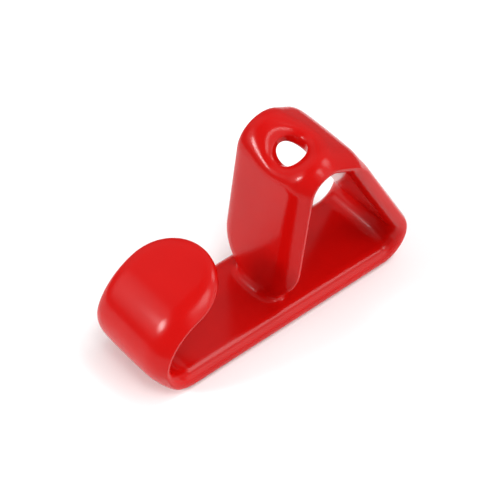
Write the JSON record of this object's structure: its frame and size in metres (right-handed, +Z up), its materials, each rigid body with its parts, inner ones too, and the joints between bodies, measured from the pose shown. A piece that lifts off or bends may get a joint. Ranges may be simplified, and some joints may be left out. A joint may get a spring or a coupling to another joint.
{
  "type": "garage utility hook",
  "caption": "Flat strip bent into a storage hook and dipped in red plastic: curled front hook, flat base and triangular loop with a screw hole through its top bend.",
  "frame": {"origin": "middle of the overall length and width, on the underside of the base", "axes": "+X along the base from the curled front hook to the back bend, +Y across the strip, +Z up to the top bend"},
  "size_m": [0.07, 0.022, 0.042],
  "materials": {
    "red_coating": "glossy soft vinyl, dip coated"
  },
  "bodies": {
    "root": {"hook_body": "red_coating"}
  },
  "joints": []
}
